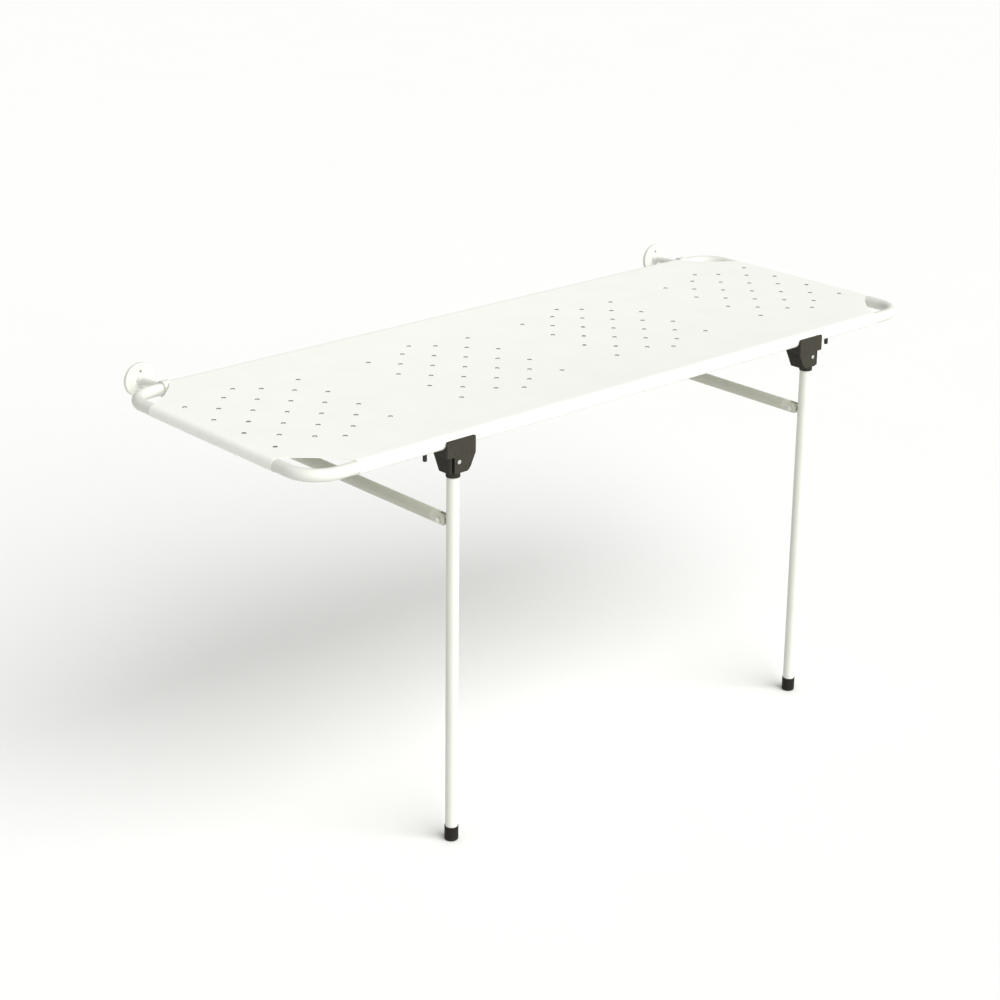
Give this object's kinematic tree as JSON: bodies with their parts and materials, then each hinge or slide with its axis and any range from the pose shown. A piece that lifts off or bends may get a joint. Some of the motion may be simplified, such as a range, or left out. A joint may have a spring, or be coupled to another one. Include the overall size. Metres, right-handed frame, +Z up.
{
  "type": "wall-mounted shower stretcher",
  "caption": "Wall-mounted shower stretcher: a perforated sheet stretched on a tube frame that folds up on wall hinges, with self-folding legs kept upright by struts.",
  "frame": {"origin": "on the floor, midway along the bed and midway between the wall plane and the front of the leg brackets", "axes": "+X along the bed to its right end, +Y towards the wall, +Z up"},
  "size_m": [1.9, 0.798, 0.97],
  "materials": {
    "white_paint": "semi-gloss white powder coat",
    "khaki_paint": "semi-gloss khaki-grey powder coat",
    "white_casting": "semi-gloss white powder coat",
    "coated_fabric": "smooth coated fabric, slightly glossy",
    "dark_moulding": "fine-grained dark moulding",
    "black_rubber": "matt rubber",
    "black_plastic": "matt moulding",
    "bush_plastic": "smooth bearing plastic",
    "zinc_steel": "bright zinc plate",
    "black_screw": "black passivated steel",
    "bare_aluminium": "bare tube"
  },
  "bodies": {
    "wall_mounts": {"hinge_bush_left": "bush_plastic", "hinge_bush_right": "bush_plastic", "strut_wall_bracket_left": "white_paint", "strut_wall_bracket_right": "white_paint", "strut_wall_pin_left": "zinc_steel", "strut_wall_pin_right": "zinc_steel", "wall_bracket_left": "white_paint", "wall_bracket_right": "white_paint"},
    "bed": {"back_tube": "white_paint", "buffer_peg_left": "black_plastic", "buffer_peg_right": "black_plastic", "cover_sheet": "coated_fabric", "end_bow_left": "white_paint", "end_bow_right": "white_paint", "front_tube": "white_paint", "joint_grub_screws": "zinc_steel", "joint_spigot_back_left": "bare_aluminium", "joint_spigot_back_right": "bare_aluminium", "joint_spigot_front_left": "bare_aluminium", "joint_spigot_front_right": "bare_aluminium", "pivot_lug_left": "white_paint", "pivot_lug_right": "white_paint", "sleeve_back": "coated_fabric", "sleeve_front": "coated_fabric", "sleeve_left": "coated_fabric", "sleeve_right": "coated_fabric"},
    "leg_left": {"bracket_plate_left": "dark_moulding", "leg_bracket_left": "dark_moulding", "leg_clamp_screw_left": "zinc_steel", "leg_foot_left": "black_rubber", "leg_tube_left": "white_paint", "pivot_pin_left": "zinc_steel", "plate_screws_left": "black_screw", "strut_leg_pin_left": "zinc_steel", "strut_lug_left": "white_paint"},
    "leg_right": {"bracket_plate_right": "dark_moulding", "leg_bracket_right": "dark_moulding", "leg_clamp_screw_right": "zinc_steel", "leg_foot_right": "black_rubber", "leg_tube_right": "white_paint", "pivot_pin_right": "zinc_steel", "plate_screws_right": "black_screw", "strut_leg_pin_right": "zinc_steel", "strut_lug_right": "white_paint"},
    "strut_left": {"strut_fork_leg_left": "white_casting", "strut_fork_wall_left": "white_casting", "strut_rivets_left": "zinc_steel", "strut_tube_left": "khaki_paint"},
    "strut_right": {"strut_fork_leg_right": "white_casting", "strut_fork_wall_right": "white_casting", "strut_rivets_right": "zinc_steel", "strut_tube_right": "khaki_paint"}
  },
  "joints": [
    {"name": "bed_fold", "type": "hinge", "parent": "wall_mounts", "child": "bed", "pos_m": [0, 0.294, 0.935], "axis": [-1, 0, 0], "range_deg": [0, 90]},
    {"name": "leg_left_swing", "type": "hinge", "parent": "bed", "child": "leg_left", "pos_m": [-0.566, -0.316, 0.935], "axis": [1, 0, 0], "range_deg": [0, 90]},
    {"name": "strut_left_swing", "type": "hinge", "parent": "wall_mounts", "child": "strut_left", "pos_m": [-0.566, 0.2615, 0.75], "axis": [-1, 0, 0], "range_deg": [0, 90]},
    {"name": "leg_right_swing", "type": "hinge", "parent": "bed", "child": "leg_right", "pos_m": [0.566, -0.316, 0.935], "axis": [1, 0, 0], "range_deg": [0, 90]},
    {"name": "strut_right_swing", "type": "hinge", "parent": "wall_mounts", "child": "strut_right", "pos_m": [0.566, 0.2615, 0.75], "axis": [-1, 0, 0], "range_deg": [0, 90]}
  ],
  "couplings": [
    {"joint": "leg_left_swing", "follows": "bed_fold", "ratio": 1},
    {"joint": "strut_left_swing", "follows": "bed_fold", "ratio": 1},
    {"joint": "leg_right_swing", "follows": "bed_fold", "ratio": 1},
    {"joint": "strut_right_swing", "follows": "bed_fold", "ratio": 1}
  ]
}
